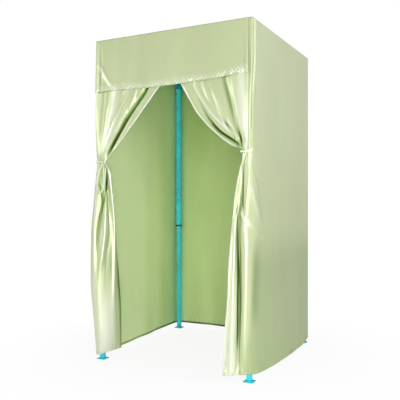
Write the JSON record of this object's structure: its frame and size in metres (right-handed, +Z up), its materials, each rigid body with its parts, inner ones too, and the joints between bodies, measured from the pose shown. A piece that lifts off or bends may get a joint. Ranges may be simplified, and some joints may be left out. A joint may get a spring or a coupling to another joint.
{
  "type": "portable fitting room",
  "caption": "Free-standing square fitting room with a satin cover, a folding steel frame, telescopic legs and tied-back doorway curtains.",
  "frame": {"origin": "on the floor under the middle of the cabin", "axes": "+Z up, the doorway faces -Y, +X to the right seen from the doorway"},
  "size_m": [1.0496, 1.0643, 1.9],
  "materials": {
    "frame_paint": "smooth cyan powder coat",
    "foot_paint": "smooth cyan powder coat, scuffed on the plates",
    "joint_plastic": "moulded teal plastic",
    "guide_plastic": "dark moulded plastic",
    "spring_steel": "plain spring steel",
    "cover_satin": "pale green satin",
    "tie_satin": "pale green satin ribbon"
  },
  "bodies": {
    "post_back_left": {"leg_bl_outer": "frame_paint", "leg_bl_bush": "guide_plastic", "leg_bl_bracket": "joint_plastic", "wall_back": "cover_satin", "wall_left": "cover_satin"},
    "post_back_right": {"leg_br_outer": "frame_paint", "leg_br_bush": "guide_plastic", "leg_br_bracket": "joint_plastic", "wall_right": "cover_satin"},
    "post_front_right": {"leg_fr_outer": "frame_paint", "leg_fr_bush": "guide_plastic", "leg_fr_bracket": "joint_plastic", "curtain_right": "cover_satin", "tie_right": "tie_satin"},
    "post_front_left": {"leg_fl_outer": "frame_paint", "leg_fl_bush": "guide_plastic", "leg_fl_bracket": "joint_plastic", "valance": "cover_satin", "curtain_left": "cover_satin", "tie_left": "tie_satin"},
    "lower_leg_bl": {"leg_bl_inner": "frame_paint", "leg_bl_foot": "foot_paint"},
    "slider_bl": {"leg_bl_slider": "joint_plastic"},
    "catch_bl": {"leg_bl_catch": "spring_steel"},
    "snap_bl": {"leg_bl_snap": "spring_steel"},
    "lower_leg_br": {"leg_br_inner": "frame_paint", "leg_br_foot": "foot_paint"},
    "slider_br": {"leg_br_slider": "joint_plastic"},
    "catch_br": {"leg_br_catch": "spring_steel"},
    "snap_br": {"leg_br_snap": "spring_steel"},
    "lower_leg_fr": {"leg_fr_inner": "frame_paint", "leg_fr_foot": "foot_paint"},
    "slider_fr": {"leg_fr_slider": "joint_plastic"},
    "catch_fr": {"leg_fr_catch": "spring_steel"},
    "snap_fr": {"leg_fr_snap": "spring_steel"},
    "lower_leg_fl": {"leg_fl_inner": "frame_paint", "leg_fl_foot": "foot_paint"},
    "slider_fl": {"leg_fl_slider": "joint_plastic"},
    "catch_fl": {"leg_fl_catch": "spring_steel"},
    "snap_fl": {"leg_fl_snap": "spring_steel"},
    "bar_back_a1": {"bar_back_a1": "frame_paint"},
    "bar_back_a2": {"bar_back_a2": "frame_paint"},
    "bar_back_b1": {"bar_back_b1": "frame_paint"},
    "bar_back_b2": {"bar_back_b2": "frame_paint"},
    "bar_right_a1": {"bar_right_a1": "frame_paint"},
    "bar_right_a2": {"bar_right_a2": "frame_paint"},
    "bar_right_b1": {"bar_right_b1": "frame_paint"},
    "bar_right_b2": {"bar_right_b2": "frame_paint"},
    "bar_front_a1": {"bar_front_a1": "frame_paint"},
    "bar_front_a2": {"bar_front_a2": "frame_paint"},
    "bar_front_b1": {"bar_front_b1": "frame_paint"},
    "bar_front_b2": {"bar_front_b2": "frame_paint"},
    "bar_left_a1": {"bar_left_a1": "frame_paint"},
    "bar_left_a2": {"bar_left_a2": "frame_paint"},
    "bar_left_b1": {"bar_left_b1": "frame_paint"},
    "bar_left_b2": {"bar_left_b2": "frame_paint"},
    "roof_back": {"roof_back": "cover_satin"},
    "roof_right": {"roof_right": "cover_satin"},
    "roof_front": {"roof_front": "cover_satin"},
    "roof_left": {"roof_left": "cover_satin"}
  },
  "joints": [
    {"name": "fold", "type": "hinge", "parent": "post_back_left", "child": "bar_back_a1", "pos_m": [-0.442, 0.472, 1.872], "axis": [0, 1, 0], "range_deg": [0, 72], "deforming": ["wall_back", "wall_left", "wall_right", "valance", "curtain_left", "curtain_right", "tie_left", "tie_right", "roof_back", "roof_right", "roof_front", "roof_left", "leg_bl_catch", "leg_br_catch", "leg_fr_catch", "leg_fl_catch"]},
    {"name": "bar_back_b1_turn", "type": "hinge", "parent": "bar_back_a1", "child": "bar_back_b1", "pos_m": [0, 0.472, 1.81], "axis": [0, -1, 0], "range_deg": [0, 144]},
    {"name": "bar_back_a2_turn", "type": "hinge", "parent": "bar_back_a1", "child": "bar_back_a2", "pos_m": [-0.221, 0.472, 1.841], "axis": [0, -1, 0], "range_deg": [0, 144]},
    {"name": "bar_back_b2_turn", "type": "hinge", "parent": "bar_back_b1", "child": "bar_back_b2", "pos_m": [0.221, 0.472, 1.841], "axis": [0, 1, 0], "range_deg": [0, 144]},
    {"name": "post_back_right_turn", "type": "hinge", "parent": "bar_back_b1", "child": "post_back_right", "pos_m": [0.442, 0.472, 1.872], "axis": [0, 1, 0], "range_deg": [0, 72]},
    {"name": "slider_bl_turn", "type": "hinge", "parent": "bar_back_a2", "child": "slider_bl", "pos_m": [-0.442, 0.472, 1.81], "axis": [0, 1, 0], "range_deg": [0, 72]},
    {"name": "slider_br_turn", "type": "hinge", "parent": "bar_back_b2", "child": "slider_br", "pos_m": [0.442, 0.472, 1.81], "axis": [0, -1, 0], "range_deg": [0, 72]},
    {"name": "bar_right_a1_turn", "type": "hinge", "parent": "post_back_right", "child": "bar_right_a1", "pos_m": [0.472, 0.442, 1.872], "axis": [1, 0, 0], "range_deg": [0, 72]},
    {"name": "bar_right_b1_turn", "type": "hinge", "parent": "bar_right_a1", "child": "bar_right_b1", "pos_m": [0.472, 0, 1.81], "axis": [-1, 0, 0], "range_deg": [0, 144]},
    {"name": "bar_right_a2_turn", "type": "hinge", "parent": "bar_right_a1", "child": "bar_right_a2", "pos_m": [0.472, 0.221, 1.841], "axis": [-1, 0, 0], "range_deg": [0, 144]},
    {"name": "bar_right_b2_turn", "type": "hinge", "parent": "bar_right_b1", "child": "bar_right_b2", "pos_m": [0.472, -0.221, 1.841], "axis": [1, 0, 0], "range_deg": [0, 144]},
    {"name": "post_front_right_turn", "type": "hinge", "parent": "bar_right_b1", "child": "post_front_right", "pos_m": [0.472, -0.442, 1.872], "axis": [1, 0, 0], "range_deg": [0, 72]},
    {"name": "slider_fr_turn", "type": "hinge", "parent": "bar_right_b2", "child": "slider_fr", "pos_m": [0.472, -0.442, 1.81], "axis": [-1, 0, 0], "range_deg": [0, 72]},
    {"name": "bar_front_a1_turn", "type": "hinge", "parent": "post_front_right", "child": "bar_front_a1", "pos_m": [0.442, -0.472, 1.872], "axis": [0, -1, 0], "range_deg": [0, 72]},
    {"name": "bar_front_b1_turn", "type": "hinge", "parent": "bar_front_a1", "child": "bar_front_b1", "pos_m": [0, -0.472, 1.81], "axis": [0, 1, 0], "range_deg": [0, 144]},
    {"name": "bar_front_a2_turn", "type": "hinge", "parent": "bar_front_a1", "child": "bar_front_a2", "pos_m": [0.221, -0.472, 1.841], "axis": [0, 1, 0], "range_deg": [0, 144]},
    {"name": "bar_front_b2_turn", "type": "hinge", "parent": "bar_front_b1", "child": "bar_front_b2", "pos_m": [-0.221, -0.472, 1.841], "axis": [0, -1, 0], "range_deg": [0, 144]},
    {"name": "bar_left_b1_turn", "type": "hinge", "parent": "post_back_left", "child": "bar_left_b1", "pos_m": [-0.472, 0.442, 1.872], "axis": [1, 0, 0], "range_deg": [0, 72]},
    {"name": "bar_left_a1_turn", "type": "hinge", "parent": "bar_left_b1", "child": "bar_left_a1", "pos_m": [-0.472, 0, 1.81], "axis": [-1, 0, 0], "range_deg": [0, 144]},
    {"name": "post_front_left_turn", "type": "hinge", "parent": "bar_left_a1", "child": "post_front_left", "pos_m": [-0.472, -0.442, 1.872], "axis": [1, 0, 0], "range_deg": [0, 72]},
    {"name": "bar_left_b2_turn", "type": "hinge", "parent": "bar_left_b1", "child": "bar_left_b2", "pos_m": [-0.472, 0.221, 1.841], "axis": [-1, 0, 0], "range_deg": [0, 144]},
    {"name": "bar_left_a2_turn", "type": "hinge", "parent": "bar_left_a1", "child": "bar_left_a2", "pos_m": [-0.472, -0.221, 1.841], "axis": [1, 0, 0], "range_deg": [0, 144]},
    {"name": "slider_fl_turn", "type": "hinge", "parent": "bar_left_a2", "child": "slider_fl", "pos_m": [-0.472, -0.442, 1.81], "axis": [-1, 0, 0], "range_deg": [0, 72]},
    {"name": "roof_back_turn", "type": "hinge", "parent": "post_back_left", "child": "roof_back", "pos_m": [0, 0.4547, 1.8993], "axis": [1, 0, 0], "range_deg": [0, 78.6]},
    {"name": "roof_left_turn", "type": "hinge", "parent": "post_back_left", "child": "roof_left", "pos_m": [-0.4547, 0, 1.8993], "axis": [0, 1, 0], "range_deg": [0, 78.6]},
    {"name": "roof_right_turn", "type": "hinge", "parent": "post_back_right", "child": "roof_right", "pos_m": [0.4547, 0, 1.8993], "axis": [0, -1, 0], "range_deg": [0, 78.6]},
    {"name": "roof_front_turn", "type": "hinge", "parent": "post_front_left", "child": "roof_front", "pos_m": [0, -0.4547, 1.8993], "axis": [-1, 0, 0], "range_deg": [0, 78.6]},
    {"name": "leg_bl_length", "type": "slide", "parent": "post_back_left", "child": "lower_leg_bl", "axis": [0, 0, 1], "range_m": [-0.076, 0.152], "deforming": ["leg_bl_snap"]},
    {"name": "leg_br_length", "type": "slide", "parent": "post_back_right", "child": "lower_leg_br", "axis": [0, 0, 1], "range_m": [-0.076, 0.152], "deforming": ["leg_br_snap"]},
    {"name": "leg_fr_length", "type": "slide", "parent": "post_front_right", "child": "lower_leg_fr", "axis": [0, 0, 1], "range_m": [-0.076, 0.152], "deforming": ["leg_fr_snap"]},
    {"name": "leg_fl_length", "type": "slide", "parent": "post_front_left", "child": "lower_leg_fl", "axis": [0, 0, 1], "range_m": [-0.076, 0.152], "deforming": ["leg_fl_snap"]},
    {"name": "snap_bl_press", "type": "slide", "parent": "lower_leg_bl", "child": "snap_bl", "axis": [0, 1, 0], "range_m": [0, 0.0045], "stiffness_N_per_m": 800, "deforming": ["leg_bl_snap"]},
    {"name": "catch_bl_press", "type": "slide", "parent": "post_back_left", "child": "catch_bl", "axis": [0, 1, 0], "range_m": [0, 0.0058], "stiffness_N_per_m": 800, "deforming": ["leg_bl_catch"]},
    {"name": "snap_br_press", "type": "slide", "parent": "lower_leg_br", "child": "snap_br", "axis": [1, 0, 0], "range_m": [0, 0.0045], "stiffness_N_per_m": 800, "deforming": ["leg_br_snap"]},
    {"name": "catch_br_press", "type": "slide", "parent": "post_back_right", "child": "catch_br", "axis": [1, 0, 0], "range_m": [0, 0.0058], "stiffness_N_per_m": 800, "deforming": ["leg_br_catch"]},
    {"name": "snap_fr_press", "type": "slide", "parent": "lower_leg_fr", "child": "snap_fr", "axis": [0, -1, 0], "range_m": [0, 0.0045], "stiffness_N_per_m": 800, "deforming": ["leg_fr_snap"]},
    {"name": "catch_fr_press", "type": "slide", "parent": "post_front_right", "child": "catch_fr", "axis": [0, -1, 0], "range_m": [0, 0.0058], "stiffness_N_per_m": 800, "deforming": ["leg_fr_catch"]},
    {"name": "snap_fl_press", "type": "slide", "parent": "lower_leg_fl", "child": "snap_fl", "axis": [-1, 0, 0], "range_m": [0, 0.0045], "stiffness_N_per_m": 800, "deforming": ["leg_fl_snap"]},
    {"name": "catch_fl_press", "type": "slide", "parent": "post_front_left", "child": "catch_fl", "axis": [-1, 0, 0], "range_m": [0, 0.0058], "stiffness_N_per_m": 800, "deforming": ["leg_fl_catch"]}
  ],
  "couplings": [
    {"joint": "bar_back_b1_turn", "follows": "fold", "ratio": 2},
    {"joint": "bar_back_a2_turn", "follows": "fold", "ratio": 2},
    {"joint": "bar_back_b2_turn", "follows": "fold", "ratio": 2},
    {"joint": "post_back_right_turn", "follows": "fold", "ratio": 1},
    {"joint": "slider_bl_turn", "follows": "fold", "ratio": 1},
    {"joint": "slider_br_turn", "follows": "fold", "ratio": 1},
    {"joint": "bar_right_a1_turn", "follows": "fold", "ratio": 1},
    {"joint": "bar_right_b1_turn", "follows": "fold", "ratio": 2},
    {"joint": "bar_right_a2_turn", "follows": "fold", "ratio": 2},
    {"joint": "bar_right_b2_turn", "follows": "fold", "ratio": 2},
    {"joint": "post_front_right_turn", "follows": "fold", "ratio": 1},
    {"joint": "slider_fr_turn", "follows": "fold", "ratio": 1},
    {"joint": "bar_front_a1_turn", "follows": "fold", "ratio": 1},
    {"joint": "bar_front_b1_turn", "follows": "fold", "ratio": 2},
    {"joint": "bar_front_a2_turn", "follows": "fold", "ratio": 2},
    {"joint": "bar_front_b2_turn", "follows": "fold", "ratio": 2},
    {"joint": "bar_left_b1_turn", "follows": "fold", "ratio": 1},
    {"joint": "bar_left_a1_turn", "follows": "fold", "ratio": 2},
    {"joint": "post_front_left_turn", "follows": "fold", "ratio": 1},
    {"joint": "bar_left_b2_turn", "follows": "fold", "ratio": 2},
    {"joint": "bar_left_a2_turn", "follows": "fold", "ratio": 2},
    {"joint": "slider_fl_turn", "follows": "fold", "ratio": 1},
    {"joint": "roof_back_turn", "follows": "fold", "ratio": 1.0903},
    {"joint": "roof_left_turn", "follows": "fold", "ratio": 1.0903},
    {"joint": "roof_right_turn", "follows": "fold", "ratio": 1.0903},
    {"joint": "roof_front_turn", "follows": "fold", "ratio": 1.0903}
  ]
}
